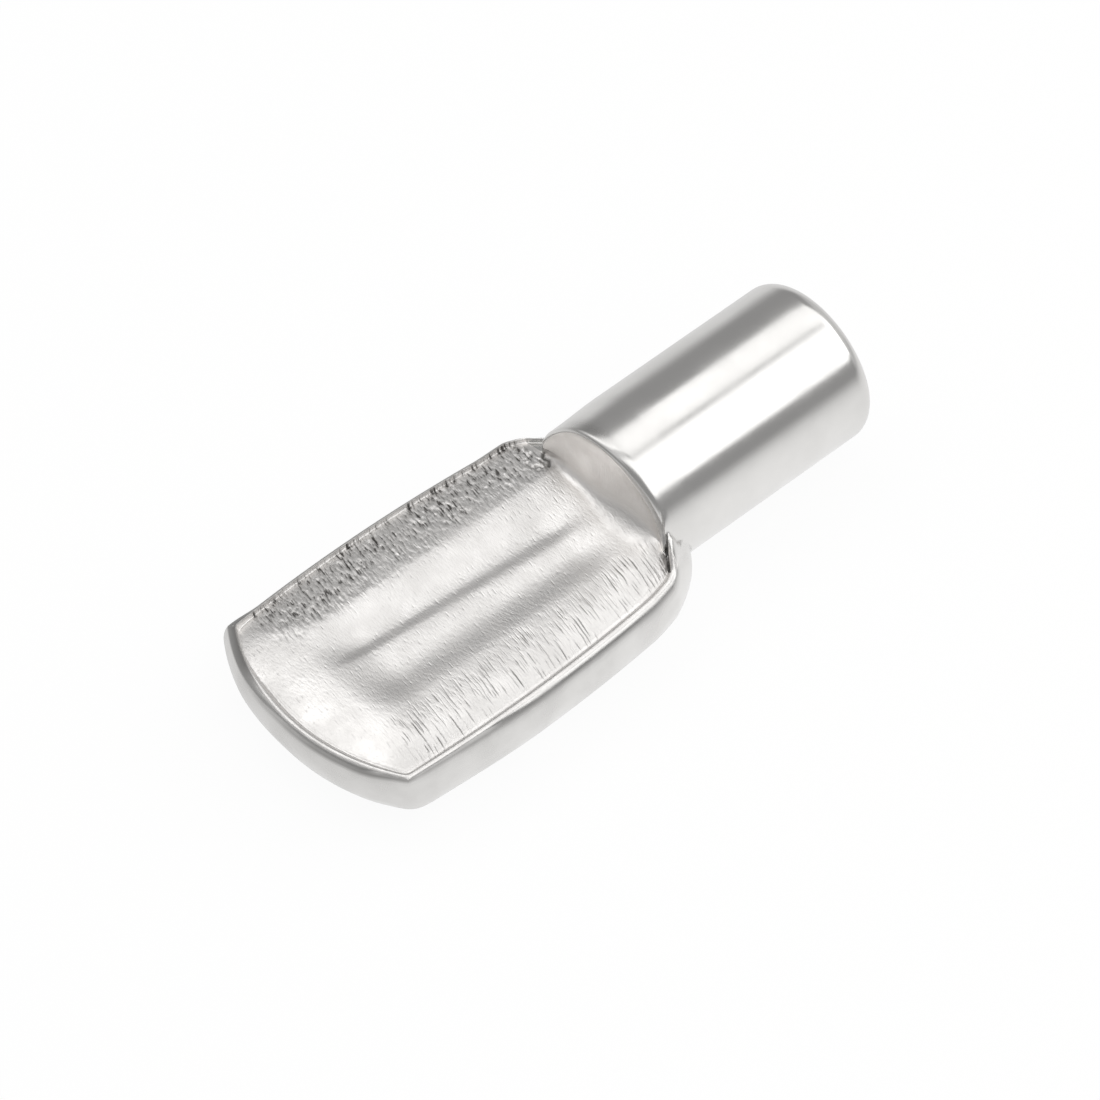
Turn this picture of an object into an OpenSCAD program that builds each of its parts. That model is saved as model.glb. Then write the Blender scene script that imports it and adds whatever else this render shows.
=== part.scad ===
// Shelf support pin, cold pressed in one piece from round steel wire.
// X runs along the peg to its free end, Z up out of the paddle's face.
// The origin is on the peg's axis, where the shoulders of the paddle end.

/* [Peg] */
// Diameter of the round peg that goes into the cabinet side
peg_d = 5; // [4.6:0.05:5.6]
// Length of the peg from the end of the shoulders to its free end
peg_len = 6.6; // [4:0.1:14]
// Radius of the rounding at the peg's free end
peg_round = 0.55; // [0.2:0.05:1]
// Swelling of the peg's radius at the step, which tapers off to the end of the shoulders
root_swell = 0.04; // [0.02:0.01:0.1]

/* [Paddle] */
// Length of the paddle from its tip to the end of the shoulders
paddle_len = 12.7; // [11:0.1:16]
// Width over the lips at the widest place
paddle_w = 7.64; // [6.8:0.02:8.6]
// Distance of the widest place from the tip
bow_tip = 5; // [4:0.1:6]
// Thickness from the underside to the top of the lip
paddle_t = 2.35; // [2.2:0.01:2.45]
// Radius of the side edges' outward bow in plan
bow_r = 50; // [40:1:80]
// Height of the tip's arc over its chord
tip_sag = 1.09; // [0.8:0.01:1.4]
// Radius in plan of the corners that lead in to the peg
shoulder_r = 2.4; // [2.2:0.02:2.6]
// Depth of the side walls' widest line below the lip
side_drop = 0.85; // [0.5:0.01:1]
// Depth of the tip wall's widest line below the lip
tip_drop = 0.7; // [0.4:0.01:0.9]

/* [Step] */
// Distance of the upright step from the end of the shoulders
step_back = 1.42; // [1.2:0.01:1.8]
// Radius of the rounding along the step's upper edge
step_round = 0.16; // [0.05:0.01:0.35]

/* [Face] */
// Width of the flat top of the lip
lip_w = 0.22; // [0.15:0.01:0.35]
// Depth of the groove inside the lip
groove_h = 0.14; // [0.08:0.01:0.25]
// Width of the groove where the crown comes nearest to the lip
groove_w = 0.1; // [0.08:0.01:0.2]
// Height of the crown's flat land above the lip
crown_h = 0.16; // [0.08:0.01:0.3]
// Width of the crown's flat land
land_w = 4; // [3.6:0.05:4.4]
// Length over which the crown falls away towards the tip
tip_fall = 2.2; // [1.8:0.05:3]
// Width of the channel along the middle of the land
channel_w = 3.3; // [2.6:0.05:3.5]
// Depth of the channel below the land
channel_h = 0.2; // [0.14:0.01:0.26]
// Distance of the channel's near end from the tip
channel_tip = 2.1; // [1.8:0.05:3]
// Distance of the channel's far end from the step
channel_step = 0.3; // [0.2:0.05:1]
// Height of the rib that parts the channel into two valleys
rib_h = 0.1; // [0.04:0.01:0.13]
// Width of the rib at the channel's bottom
rib_w = 1; // [0.6:0.05:1.4]

/* [Hidden] */
// how far a cutter or a limiting block runs past what it cuts
past = 1;
// how far the face runs in under the step, and the root of the peg into the peg
step_in = 0.3;
// how much slimmer than the peg its root in the paddle is
root_in = 0.2;
// how far the shoulder corners stand proud of the bow where they start
shoulder_proud = 0.03;
// facets round the large, middle and small curves
big_fn = 360;
mid_fn = 180;
small_fn = 96;

peg_r = peg_d / 2;
half_w = paddle_w / 2;
tip_x = -paddle_len;
step_x = -step_back;

// radius of an arc from half its chord and its height over the chord
function arc_r(half_chord, h) = (half_chord * half_chord + h * h) / (2 * h);

// side wall in section, one arc from the lip down and under to the flat underside
function wall_r(drop) = paddle_t - drop;
function wall_out(drop) = wall_r(drop) - sqrt(wall_r(drop) * wall_r(drop) - drop * drop);

// half width of the bowed rim at a place along the length
bow_x = tip_x + bow_tip;
bow_y = bow_r - half_w;
function rim_y(x) = sqrt(bow_r * bow_r - (x - bow_x) * (x - bow_x)) - bow_y;

// tip arc through the apex and the two tip corners
corner_x = tip_x + tip_sag;
corner_y = rim_y(corner_x);
tip_r = arc_r(corner_y, tip_sag);
tip_cx = tip_x + tip_r;

// shoulder corners, whose widest line ends at the origin's plane
shoulder_x = -shoulder_r - wall_out(side_drop);
shoulder_y = rim_y(shoulder_x) + shoulder_proud - shoulder_r;

// crown arcs that fall from the land to the bottom of the groove
crown_fall = crown_h + groove_h;
crown_in = lip_w + groove_w;
side_r = arc_r(half_w - crown_in - land_w / 2, crown_fall);
tip_fall_r = arc_r(tip_fall, crown_fall);
tip_flat_r = tip_r - crown_in - tip_fall;

// channel cutter, round in section with round ends, and the round rib in its bottom
channel_r = arc_r(channel_w / 2, channel_h);
rib_r = arc_r(rib_w / 2, rib_h);
rib_z = crown_h - channel_h + rib_h - rib_r;
channel_x0 = tip_x + channel_tip + channel_w / 2;
channel_x1 = step_x - channel_step - channel_w / 2;

// half section of a disc whose rim has the wall's profile, flat at the lip's height
module wall_section(r, drop) {
    core = r + wall_out(drop) - wall_r(drop);
    intersection() {
        union() {
            translate([core, -drop]) circle(r = wall_r(drop), $fn = small_fn);
            translate([0, -paddle_t]) square([core, paddle_t + past]);
        }
        translate([0, -paddle_t - past]) square([r + paddle_t, paddle_t + past]);
    }
}

// disc with the wall's profile round its rim
module wall_disc(r, drop, facets) {
    rotate_extrude($fn = facets) wall_section(r, drop);
}

// block over the paddle's full width and thickness, between two places along the length
module across(x0, x1) {
    translate([x0, -half_w - past, -paddle_t - past]) cube([x1 - x0, paddle_w + 2 * past, paddle_t + 2 * past]);
}

// strip over the paddle's full width in plan, between two places along the length
module across_plan(x0, x1) {
    translate([x0, -half_w - past]) square([x1 - x0, paddle_w + 2 * past]);
}

// paddle up to the lip's height, with bowed sides, arched tip and shoulders
module blank() {
    intersection() {
        translate([bow_x, bow_y, 0]) wall_disc(bow_r, side_drop, big_fn);
        translate([bow_x, -bow_y, 0]) wall_disc(bow_r, side_drop, big_fn);
        union() {
            translate([tip_cx, 0, 0]) wall_disc(tip_r, tip_drop, mid_fn);
            across(tip_cx, past);
        }
        union() {
            across(tip_x - past, shoulder_x);
            for (s = [-1, 1]) {
                translate([shoulder_x, s * shoulder_y, 0]) wall_disc(shoulder_r, side_drop, small_fn);
            }
            translate([shoulder_x - past, 0, 0]) rotate([0, 90, 0])
                cylinder(r = peg_r - root_in, h = step_x + step_in - shoulder_x + past, $fn = small_fn);
        }
    }
}

// upright prism of the face's outline, set in from the rim by a distance
module face_prism(inset, z0, h) {
    translate([0, 0, z0]) linear_extrude(height = h) intersection() {
        translate([bow_x, bow_y]) circle(r = bow_r - inset, $fn = big_fn);
        translate([bow_x, -bow_y]) circle(r = bow_r - inset, $fn = big_fn);
        union() {
            translate([tip_cx, 0]) circle(r = tip_r - inset, $fn = mid_fn);
            across_plan(tip_cx, past);
        }
        union() {
            across_plan(tip_x - past, shoulder_x);
            for (s = [-1, 1]) {
                translate([shoulder_x, s * shoulder_y]) circle(r = shoulder_r - inset, $fn = small_fn);
            }
            translate([shoulder_x - past, -peg_r + root_in])
                square([step_x + step_in - shoulder_x + past, 2 * (peg_r - root_in)]);
        }
    }
}

// section of the crown across the paddle, flat on top and falling away on both sides
module crown_section() {
    for (s = [-1, 1]) {
        intersection() {
            translate([s * land_w / 2, crown_h - side_r]) circle(r = side_r, $fn = mid_fn);
            translate([s > 0 ? 0 : -half_w, -past]) square([half_w, past + crown_h]);
        }
    }
}

// disc whose top falls away towards its rim, for the crown's fall at the tip
module tip_dome() {
    rotate_extrude($fn = mid_fn) union() {
        translate([0, -past]) square([tip_flat_r, past + crown_h]);
        intersection() {
            translate([tip_flat_r, crown_h - tip_fall_r]) circle(r = tip_fall_r, $fn = mid_fn);
            translate([0, -past]) square([tip_r, past + crown_h]);
        }
    }
}

// pressed crown inside the lip
module crown() {
    intersection() {
        translate([tip_x, 0, 0]) rotate([90, 0, 90])
            linear_extrude(height = paddle_len - step_back + step_in) crown_section();
        union() {
            translate([tip_cx, 0, 0]) tip_dome();
            across(tip_cx, past);
        }
        face_prism(crown_in, -past / 2, 2 * past);
    }
}

// rounded rod that presses the channel into the land
module channel_rod() {
    run = channel_x1 - channel_x0;
    translate([channel_x0, 0, crown_h - channel_h + channel_r]) rotate([0, 90, 0]) rotate_extrude($fn = mid_fn)
        intersection() {
            union() {
                circle(r = channel_r, $fn = mid_fn);
                square([channel_r, run]);
                translate([0, run]) circle(r = channel_r, $fn = mid_fn);
            }
            translate([0, -channel_r - past]) square([channel_r + past, run + 2 * channel_r + 2 * past]);
        }
}

// half section of the peg, with its tapered root and the roundings at both ends
module peg_section() {
    total = peg_len + step_back;
    root_r = peg_r + root_swell;
    polygon([
        [0, 0],
        [root_r - step_round, 0],
        [root_r - step_round, step_round],
        [root_r, step_round],
        [peg_r, step_back],
        [peg_r, total - peg_round],
        [peg_r - peg_round, total - peg_round],
        [peg_r - peg_round, total],
        [0, total],
    ]);
    translate([root_r - step_round, step_round]) circle(r = step_round, $fn = small_fn);
    translate([peg_r - peg_round, total - peg_round]) circle(r = peg_round, $fn = small_fn);
}

// round peg with a rounded free end, its near end standing over the face as the step
module peg() {
    translate([step_x, 0, 0]) rotate([0, 90, 0]) rotate_extrude($fn = small_fn) peg_section();
}

// channel in the crown's land, less the rib along its middle
module channel() {
    difference() {
        channel_rod();
        translate([tip_x, 0, rib_z]) rotate([0, 90, 0]) cylinder(r = rib_r, h = paddle_len, $fn = mid_fn);
    }
}

module shelf_pin() {
    color([0.78, 0.77, 0.76]) union() {
        difference() {
            blank();
            face_prism(lip_w, -groove_h, 2 * past);
        }
        difference() {
            crown();
            channel();
        }
        peg();
    }
}

shelf_pin();
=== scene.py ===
import math
from functools import reduce

import bmesh
import bpy
import numpy as np
from mathutils import Matrix, Vector


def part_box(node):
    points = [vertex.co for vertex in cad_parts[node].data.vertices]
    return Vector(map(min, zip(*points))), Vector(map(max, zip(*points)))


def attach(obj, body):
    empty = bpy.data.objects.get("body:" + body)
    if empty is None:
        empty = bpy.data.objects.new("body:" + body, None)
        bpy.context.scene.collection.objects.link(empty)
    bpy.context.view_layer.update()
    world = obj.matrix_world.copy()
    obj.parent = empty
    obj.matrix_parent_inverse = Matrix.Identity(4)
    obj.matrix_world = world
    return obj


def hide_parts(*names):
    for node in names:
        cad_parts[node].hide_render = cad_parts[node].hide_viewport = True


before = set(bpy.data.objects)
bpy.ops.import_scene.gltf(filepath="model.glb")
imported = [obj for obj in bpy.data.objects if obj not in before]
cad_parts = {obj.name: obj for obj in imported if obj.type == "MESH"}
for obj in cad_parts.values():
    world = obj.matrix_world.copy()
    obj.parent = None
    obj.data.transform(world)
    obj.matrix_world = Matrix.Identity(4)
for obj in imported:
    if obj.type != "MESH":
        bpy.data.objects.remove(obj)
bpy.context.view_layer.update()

mm = 0.001
farAway, tiny = 1e3, 1e-6  # in mm, for no limit and for no length
scene = bpy.context.scene
scene.view_settings.view_transform = "Standard"

# sizes of the pin in mm, mostly as in the solid: X along the peg, Z up out of the face
pin = {
    "pegRadius": 2.5, "pegEnd": 6.6, "endRound": 0.55, "rootSwell": 0.04,
    "tipX": -12.7, "halfWidth": 3.82, "bowX": -7.7, "bowRadius": 50.0, "tipSag": 1.09, "thickness": 2.35,
    "shoulderRadius": 2.4, "shoulderProud": 0.03, "sideDrop": 0.85, "tipDrop": 0.7,
    "cornerSoft": 1.2, "insetSoft": 0.1, "dropSpan": (-0.8, 0.8), "straightSpan": (-6.0, -4.7),
    # how far the walls stand out round the tip's corners, and where they do, across and along
    "cornerLeft": {"out": 0.14, "across": (0.2, 2.6), "along": (10.6, 11.6)},
    "cornerRight": {"out": -0.15, "across": (2.4, 3.5), "along": (7.0, 11.0)},
    "cornerRound": 0.34, "cornerReach": 1.4, "cornerFade": (0.0, 0.6),
    # upright step: its foot leans at the right, and its edge leans at the left and is rounder at the right
    "stepX": -1.42, "stepRound": 0.12, "stepScoop": 0.08,
    "stepLean": 0.1, "leanAcross": (-0.2, 1.3), "leanEnd": (2.2, 2.48), "leanStart": -2.8,
    "edgeLean": (-0.04, -0.075), "edgeLeanEnd": -0.3, "edgeShares": (0.75, 1),
    "edgeDip": 0.17, "dipLength": 0.34, "dipShares": (-0.25, 0.45), "freeShares": (0.78, 0.95),
    # neck: its rim is pushed out at the left, and at the right it is drawn in and climbs the peg's side
    "neckFrom": -4.5, "neckSoft": 0.12, "centreZ": -1.0, "rootIn": 0.34, "rootSpan": (-2.7, -1.0),
    "neckPull": 0.17, "pullSpan": (-2.9, -1.2), "rimClimb": 0.12, "climbSpan": (-1.8, -1.1),
    "leftPush": 0.08, "pushStart": (-3.0, -1.8), "pushEnd": (-1.5, -1.1),
    "leftTaper": 0.1, "taperEnd": 0.2, "taperShares": (0.15, 0.55),
    "footY": 2.5, "footFillet": 0.1, "footShares": (0.86, 1), "leastRoom": 0.012, "filletShare": 0.4,
}

# how fine the mesh is; a crowd is how much closer its rows lie at a place, and over what reach in mm
fine = {
    "rows": 300, "columns": 190, "tipCrowd": (1.2, 0.35), "stepCrowd": (0.8, 0.5), "rimCrowd": (1.4, 0.07),
    "spreadSamples": 4001, "bendLength": 7.0, "bendTrials": 30, "rimSamples": 3000, "roundSamples": 200,
    "wallSteps": 15, "wallCrowd": 1.5, "arcSteps": 90, "flatSteps": 12, "underSteps": 24, "stepRows": 10,
    "edgeRings": 7, "rootPitch": 0.04, "shoulderEnd": (-0.1, 0.4), "shoulderRings": 8, "pegRings": 14,
    "endRings": 11, "endShares": (0.94, 0.8, 0.6, 0.4, 0.2),
}

# pressed face: lip, groove, crests, and the two valleys either side of the middle rib
face = {
    # pairs for the right and the left, then the spans over which they change
    "lipHalf": (0.09, 0.035), "grooveIn": (0.32, 0.07), "fallPower": (2, 1.4), "stepFillet": (0.75, 0.28),
    "leftSpan": (1.0, 3.0), "filletSpan": (-1.2, 0.8), "filletEnd": (1.3, 2.45),
    "lipSag": 0.05, "lipSoft": 0.03, "lipFloor": -1.0, "leastHalf": 2.7,
    "lineHeight": 0.008, "linePitch": 0.13, "lineSpan": (0.19, 0.45),
    "crownHeight": 0.16, "crownFall": 0.30, "tipFall": 2.2, "middleX": -7.0,
    # place across at middleX, drift across per mm of length, height over the crest
    "press": [
        (1.92, -0.04, 0.0), (0.53, -0.075, -0.19), (0.06, -0.09, -0.135),
        (-0.78, -0.033, -0.20), (-1.85, -0.033, -0.10),
    ],
    "pressEnds": ((-11.0, -9.4), (-3.4, -1.4)), "pressEdge": 3.5,
    # wedge of metal that rises from the right lip to the peg's side, outside a line in plan
    "tongue": {
        "from": (-1.33, -2.53), "to": (-1.71, -3.08), "height": 0.5, "width": 0.34, "edge": (-0.01, 0.05),
        "fill": (-1.95, -1.6), "rise": (-1.75, -1.3), "end": (-1.22, -0.8),
    },
    # folds in the metal at the foot of the step, as points in plan, with half width, depth and the darkness
    # of their painted shade
    "folds": [
        {"width": 0.022, "depth": 0.16, "dark": 1.0,
         "path": [(-1.28, -2.49), (-1.47, -2.75), (-1.71, -3.08)]},
        {"width": 0.04, "depth": 0.06, "dark": 0.9,
         "path": [(-1.40, 2.50), (-1.55, 2.34), (-1.52, 2.12), (-1.66, 1.96)]},
        {"width": 0.10, "depth": 0.01, "dark": 0.22, "path": [(-1.50, 2.25), (-1.54, 1.60)]},
    ],
}


def smoothStep(low, high, v):
    t = np.clip((v - low) / (high - low), 0, 1)
    return t * t * (3 - 2 * t)


def softMax(a, b, soft):
    return np.maximum(a, b) + np.maximum(soft - np.abs(a - b), 0) ** 2 / (4 * soft)


def softMin(a, b, soft):
    return -softMax(-a, -b, soft)


def between(ends, share):
    return ends[0] + (ends[1] - ends[0]) * share


bowY = pin["bowRadius"] - pin["halfWidth"]


def bowHalf(x, out=0.0):
    return np.sqrt((pin["bowRadius"] + out) ** 2 - (x - pin["bowX"]) ** 2) - bowY


def wallOut(drop):
    r = pin["thickness"] - drop
    return r - np.sqrt(r * r - drop * drop)


cornerX = pin["tipX"] + pin["tipSag"]
cornerY = float(bowHalf(cornerX))
tipRadius = (cornerY ** 2 + pin["tipSag"] ** 2) / (2 * pin["tipSag"])
tipCentre = pin["tipX"] + tipRadius
shoulderX = -pin["shoulderRadius"] - float(wallOut(pin["sideDrop"]))
shoulderY = float(bowHalf(shoulderX)) + pin["shoulderProud"] - pin["shoulderRadius"]
rimZ = -face["lipSag"]
stepX, centreZ = pin["stepX"], pin["centreZ"]


def sectionHalf(x, out=0.0):  # half width at a place along, for a wall that stands out by a distance
    reach = (pin["shoulderRadius"] + out) ** 2 - (x - shoulderX) ** 2
    corner = np.where(x > shoulderX, shoulderY + np.sqrt(np.maximum(reach, 0)), farAway)
    return np.minimum(bowHalf(x, out), corner)


def stepLean(y):  # how far the step's foot stands in towards the peg
    lean = pin["stepLean"] * smoothStep(*pin["leanAcross"], -y)
    return lean * (1 - smoothStep(*pin["leanEnd"], np.abs(y)))


def neckPull(x, side):  # how far the rim is drawn in beside the neck
    left = pin["leftPush"] * smoothStep(*pin["pushStart"], x) * (1 - smoothStep(*pin["pushEnd"], x))
    return np.where(side < 0, pin["neckPull"] * smoothStep(*pin["pullSpan"], x), -left)


def neckClimb(x, side):  # how far the rim rises there
    return np.where(side < 0, pin["rimClimb"], 0.0) * smoothStep(*pin["climbSpan"], x)


def rimHalf(x, side):
    return sectionHalf(x) - neckPull(x, side)


def rimInset(x, y):  # distance in from the rim
    ay = np.abs(y)
    side = pin["bowRadius"] - np.hypot(x - pin["bowX"], ay + bowY)
    tip = np.where(x < tipCentre, tipRadius - np.hypot(x - tipCentre, y), farAway)
    reach = np.hypot(x - shoulderX, ay - shoulderY)
    atCorner = (x > shoulderX) & (ay > shoulderY)
    corner = np.where(atCorner, pin["shoulderRadius"] - reach, farAway)
    lean = np.where(atCorner, (ay - shoulderY) / np.maximum(reach, tiny), 1)
    return np.minimum(softMin(side, tip, pin["insetSoft"]), corner) - neckPull(x, y) * lean


def pressProfile(x, y):  # height of the valleys, the rib and the right crest over the left crest
    z = np.zeros_like(x)
    places = [(y0 + drift * (x - face["middleX"]), h) for y0, drift, h in face["press"]]
    for (ya, za), (yb, zb) in zip(places[:-1], places[1:]):
        u = (ya - y) / (ya - yb)
        rise = za + (zb - za) * (0.5 - 0.5 * np.cos(np.pi * np.clip(u, 0, 1)))
        z = np.where((u >= 0) & (u < 1), rise, z)
    edge, last = places[-1]
    z = np.where(y < edge, last * (1 - smoothStep(-edge, face["pressEdge"], -y)), z)
    tipEnd, stepEnd = face["pressEnds"]
    return z * smoothStep(*tipEnd, x) * (1 - smoothStep(*stepEnd, x))


def foldDistance(x, y, path):
    best = np.full(np.shape(x), farAway)
    for (xa, ya), (xb, yb) in zip(path[:-1], path[1:]):
        dx, dy = xb - xa, yb - ya
        t = np.clip(((x - xa) * dx + (y - ya) * dy) / (dx * dx + dy * dy), 0, 1)
        best = np.minimum(best, np.hypot(x - xa - t * dx, y - ya - t * dy))
    return best


def foldShadeAndDepth(x, y):  # painted shade along the folds, and their depth
    foldShade = np.zeros(np.shape(x))
    depth = np.zeros(np.shape(x))
    for foldAndShade in face["folds"]:
        g = np.exp(-(foldDistance(x, y, foldAndShade["path"]) / foldAndShade["width"]) ** 2)
        foldShade = np.maximum(foldShade, g * foldAndShade["dark"])
        depth = np.maximum(depth, g * foldAndShade["depth"])
    return foldShade, depth


def withTongue(x, y, z, inset):  # the face's height, filled and raised outside the crack
    tongue = face["tongue"]
    (xa, ya), (xb, yb) = tongue["from"], tongue["to"]
    outside = ((x - xa) * (ya - yb) - (y - ya) * (xa - xb)) / math.hypot(xa - xb, ya - yb)
    share = (y < 0) * smoothStep(*tongue["edge"], outside) * smoothStep(*tongue["fill"], x)
    rise = smoothStep(*tongue["rise"], x) * (1 - smoothStep(*tongue["end"], x))
    dome = 1 - (1 - np.clip(inset / tongue["width"], 0, 1)) ** 2
    top = rimZ + neckClimb(x, y) + (face["lipSag"] + tongue["height"] * rise) * dome
    return z + share * np.maximum(top - z, 0)


def faceHeight(x, y, folded=True):
    half = np.maximum(rimHalf(x, y), face["leastHalf"])
    atLeft = smoothStep(*face["leftSpan"], y)
    grooveIn = between(face["grooveIn"], atLeft)
    drift = x - face["middleX"]
    first, last = face["press"][0], face["press"][-1]
    crest = np.where(y > 0, first[0] + first[1] * drift, -(last[0] + last[1] * drift))
    side = np.clip((np.abs(y) - crest) / (half - grooveIn - crest), 0, None)
    rho = np.where(x < tipCentre, np.hypot(x - tipCentre, y), 0)
    tip = np.clip((rho - (tipRadius - grooveIn - face["tipFall"])) / face["tipFall"], 0, None)
    powerRight, powerLeft = face["fallPower"]
    fall = np.where(y > 0, side ** powerLeft, side ** powerRight)
    z = face["crownHeight"] - face["crownFall"] * (fall ** 3 + tip ** 6) ** (1 / 3)
    z = z + pressProfile(x, y)
    inset = rimInset(x, y)
    lip = between(face["lipHalf"], atLeft)
    bead = neckClimb(x, y) - face["lipSag"] * ((inset - lip) / lip) ** 2
    z = withTongue(x, y, softMax(z, np.maximum(bead, face["lipFloor"]), face["lipSoft"]), inset)
    start, end = face["lineSpan"]
    share = np.clip((inset - start) / (end - start), 0, 1)
    lines = np.sin(2 * np.pi * (inset - start) / face["linePitch"]) * np.sin(np.pi * share)
    z = z + face["lineHeight"] * lines * (1 - atLeft)
    r = between(face["stepFillet"], smoothStep(*face["filletSpan"], y))
    near = np.clip(r - (stepX + stepLean(y) - x), 0, r)
    z = z + (r - np.sqrt(r * r - near * near)) * (1 - smoothStep(*face["filletEnd"], np.abs(y)))
    return z - foldShadeAndDepth(x, y)[1] if folded else z


# kinds of surface, and the mesh as it grows
faceZone, pegZone, wallZone, endZone, stepZone = 0, 1, 2, 3, 4
blank = {"points": [], "faces": [], "zones": [], "count": 0}


def addPoints(x, y, z):
    p = np.stack(np.broadcast_arrays(x, y, z), -1).reshape(-1, 3)
    blank["points"].append(p)
    blank["count"] += len(p)
    return np.arange(blank["count"] - len(p), blank["count"])


def allPoints():
    return np.concatenate(blank["points"])


def addQuads(grid, zone, closed=False):  # a grid of point numbers, row by row
    if closed:
        grid = np.concatenate([grid, grid[:, :1]], 1)
    a, b, c, d = grid[:-1, :-1], grid[1:, :-1], grid[1:, 1:], grid[:-1, 1:]
    zones = np.broadcast_to(zone, a.shape).ravel().tolist()
    for quad, k in zip(np.stack([a, b, c, d], -1).reshape(-1, 4).tolist(), zones):
        quad = [v for n, v in enumerate(quad) if v not in quad[:n]]
        if len(quad) > 2:
            blank["faces"].append(quad)
            blank["zones"].append(k)


def spread(low, high, count, crowd):  # places between two ends, closer together where crowd is larger
    v = np.linspace(low, high, fine["spreadSamples"])
    w = crowd(v)
    s = np.concatenate([[0], np.cumsum((w[1:] + w[:-1]) / 2)])
    return np.interp(np.linspace(0, s[-1], count + 1), s, v)


def closer(name, away):  # how much closer the rows lie at a distance from a crowd's place
    much, reach = fine[name]
    return much * np.exp(-(away / reach) ** 2)


def pressFace():  # the face, row by row from the tip to the step
    tipX = pin["tipX"]
    along = spread(tipX, stepX, fine["rows"], lambda v: (
        1 + closer("tipCrowd", v - tipX) + closer("stepCrowd", v - stepX)))
    across = spread(-1, 1, fine["columns"], lambda v: 1 + closer("rimCrowd", 1 - np.abs(v)))
    bend = 1 - smoothStep(tipX, tipX + fine["bendLength"], along)  # the rows follow the tip's arc
    halves = []
    for side in (-1, 1):
        half = bowHalf(along)
        for _ in range(fine["bendTrials"]):
            half = rimHalf(along + bend * (tipRadius - np.sqrt(tipRadius ** 2 - half ** 2)), side)
        halves.append(half)
    y = np.where(across < 0, halves[0][:, None], halves[1][:, None]) * across
    x = along[:, None] + bend[:, None] * (tipRadius - np.sqrt(tipRadius ** 2 - y ** 2))
    x = x + stepLean(y) * smoothStep(pin["leanStart"], stepX, along)[:, None]
    z = faceHeight(x, y)
    z[0, :] = rimZ
    z[:, 0], z[:, -1] = rimZ + neckClimb(x[:, 0], -1), rimZ + neckClimb(x[:, -1], 1)
    grid = addPoints(x, y, z).reshape(x.shape)
    addQuads(grid, faceZone)
    return along, grid, x, y


def smoothed(values, kernel):  # a line smoothed along its length, with its ends kept straight
    n = len(kernel) // 2
    before, after = 2 * values[0] - values[n:0:-1], 2 * values[-1] - values[-2:-n - 2:-1]
    return np.convolve(np.concatenate([before, values, after]), kernel, "valid")


def rollWalls(grid, neck):  # side walls round the tip as far as the neck
    rim = np.concatenate([grid[neck:0:-1, 0], grid[0, :], grid[1:neck + 1, -1]])
    pts = allPoints()
    rx, ry = pts[rim, 0], pts[rim, 1]
    s = np.concatenate([[0], np.cumsum(np.hypot(np.diff(rx), np.diff(ry)))])
    even = np.linspace(0, s[-1], fine["rimSamples"])
    pitch = even[1] - even[0]
    ex, ey = np.interp(even, s, rx), np.interp(even, s, ry)
    # the walls' corners are rounder than the lip's
    count = 2 * int(pin["cornerSoft"] / pitch) + 1
    turn = np.unwrap(np.arctan2(np.gradient(ex), -np.gradient(ey)))
    angle = np.interp(s, even, smoothed(turn, np.ones(count) / count))
    nx, ny = np.cos(angle), np.sin(angle)
    drop = between((pin["sideDrop"], pin["tipDrop"]), smoothStep(*pin["dropSpan"], cornerX - rx))
    r = pin["thickness"] - drop
    straight = smoothStep(*pin["straightSpan"], rx)
    # the walls stand out round the tip's left corner and draw in towards its right one
    bulge = 0
    for side, corner in ((1, pin["cornerLeft"]), (-1, pin["cornerRight"])):
        there = smoothStep(*corner["across"], side * ry) * smoothStep(*corner["along"], -rx)
        bulge = bulge + corner["out"] * there
    # the rim with its right corner rounded, for the lower part of the wall
    samples = np.arange(-fine["roundSamples"], fine["roundSamples"] + 1)
    soft = np.exp(-(samples * pitch / pin["cornerRound"]) ** 2 / 2)
    soft /= soft.sum()
    roundX, roundY = (np.interp(s, even, smoothed(e, soft)) for e in (ex, ey))
    at = s[np.argmin(np.hypot(rx - cornerX, ry + cornerY))]
    atCorner = np.exp(-((s - at) / pin["cornerReach"]) ** 4)
    walls = [rim]
    top = np.arcsin((drop + rimZ) / r)
    for k in range(1, fine["wallSteps"] + 1):
        phi = top + (-np.pi / 2 - top) * (k / fine["wallSteps"]) ** fine["wallCrowd"]
        out = wallOut(drop) - r + r * np.cos(phi) + bulge * np.cos(phi) ** 2
        share = atCorner * smoothStep(*pin["cornerFade"], drop - r * np.sin(phi))
        bx, by = between((rx, roundX), share), between((ry, roundY), share)
        wx = bx + nx * out * (1 - straight)
        wy = np.where(rx > pin["straightSpan"][0], np.sign(ry) * sectionHalf(wx, out), by + ny * out)
        walls.append(addPoints(wx, wy, -drop + r * np.sin(phi)))
    walls = np.array(walls).T
    addQuads(walls, wallZone)
    return walls


# distances from the middle of a section through the neck, at angles down from the side
def wallRadius(x, ang, side):
    d = pin["sideDrop"]
    r = pin["thickness"] - d
    p = np.linspace(np.arcsin((d + rimZ) / r), -np.pi / 2, fine["arcSteps"])
    out = float(wallOut(d)) - r + r * np.cos(p)
    pz = -d + r * np.sin(p)
    py = sectionHalf(x, out) - neckPull(x, side)
    py[0], pz[0] = rimHalf(x, side), rimZ + neckClimb(x, side)
    if x > shoulderX:
        there = pin["shoulderRadius"] + out >= x - shoulderX
        py, pz = py[there], pz[there]
    if len(py) < 3:
        return np.zeros_like(ang)
    flat = np.linspace(py[-1], 0, fine["flatSteps"])[1:]
    py, pz = np.concatenate([py, flat]), np.concatenate([pz, np.full_like(flat, pz[-1])])
    a = np.arctan2(centreZ - pz, py)
    order = np.argsort(a)
    return np.interp(ang, a[order], np.hypot(py, pz - centreZ)[order])


def roundRadius(radius, ang):  # a circle about the peg's axis
    low = centreZ * np.sin(ang)
    return low + np.sqrt(np.maximum(low * low - centreZ ** 2 + radius * radius, 0))


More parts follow.
